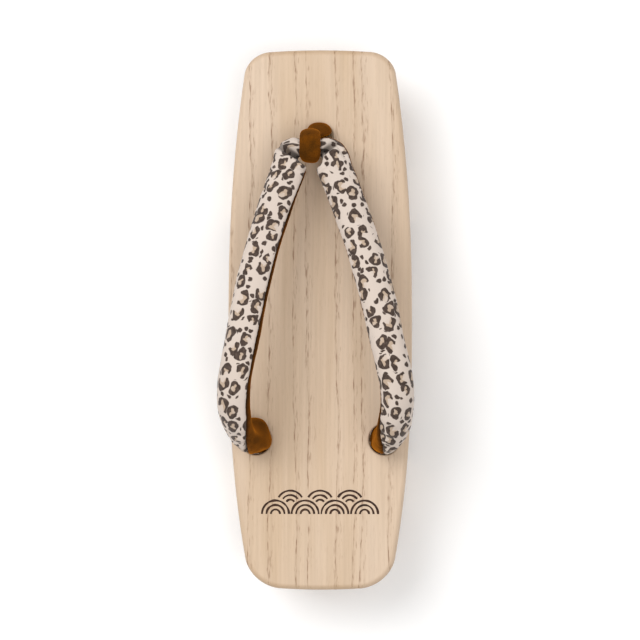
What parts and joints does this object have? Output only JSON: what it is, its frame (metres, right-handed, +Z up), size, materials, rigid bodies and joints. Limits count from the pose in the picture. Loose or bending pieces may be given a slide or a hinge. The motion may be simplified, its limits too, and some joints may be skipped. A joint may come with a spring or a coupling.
{
  "type": "geta sandal",
  "caption": "Wooden clog sandal: a barrel-shaped board on crosswise teeth, with a padded thong strap held at the toe by a velvet loop; worn on either foot.",
  "frame": {"origin": "on the floor, under the middle of the board", "axes": "+Y to the toe, +Z up, +X to the right of someone who stands in the shoe"},
  "size_m": [0.0854, 0.24, 0.0911],
  "materials": {
    "wood": "planed straight-grained paulownia, unvarnished",
    "printed_cotton": "padded cotton with a spotted print, over a velvet underside",
    "velvet": "short-pile cotton velvet, ochre brown",
    "cord": "twisted hemp cord, undyed"
  },
  "bodies": {
    "root": {"board": "wood", "strap": "printed_cotton", "front_loop": "velvet", "front_knot": "cord", "rear_tie": "cord"}
  },
  "joints": []
}
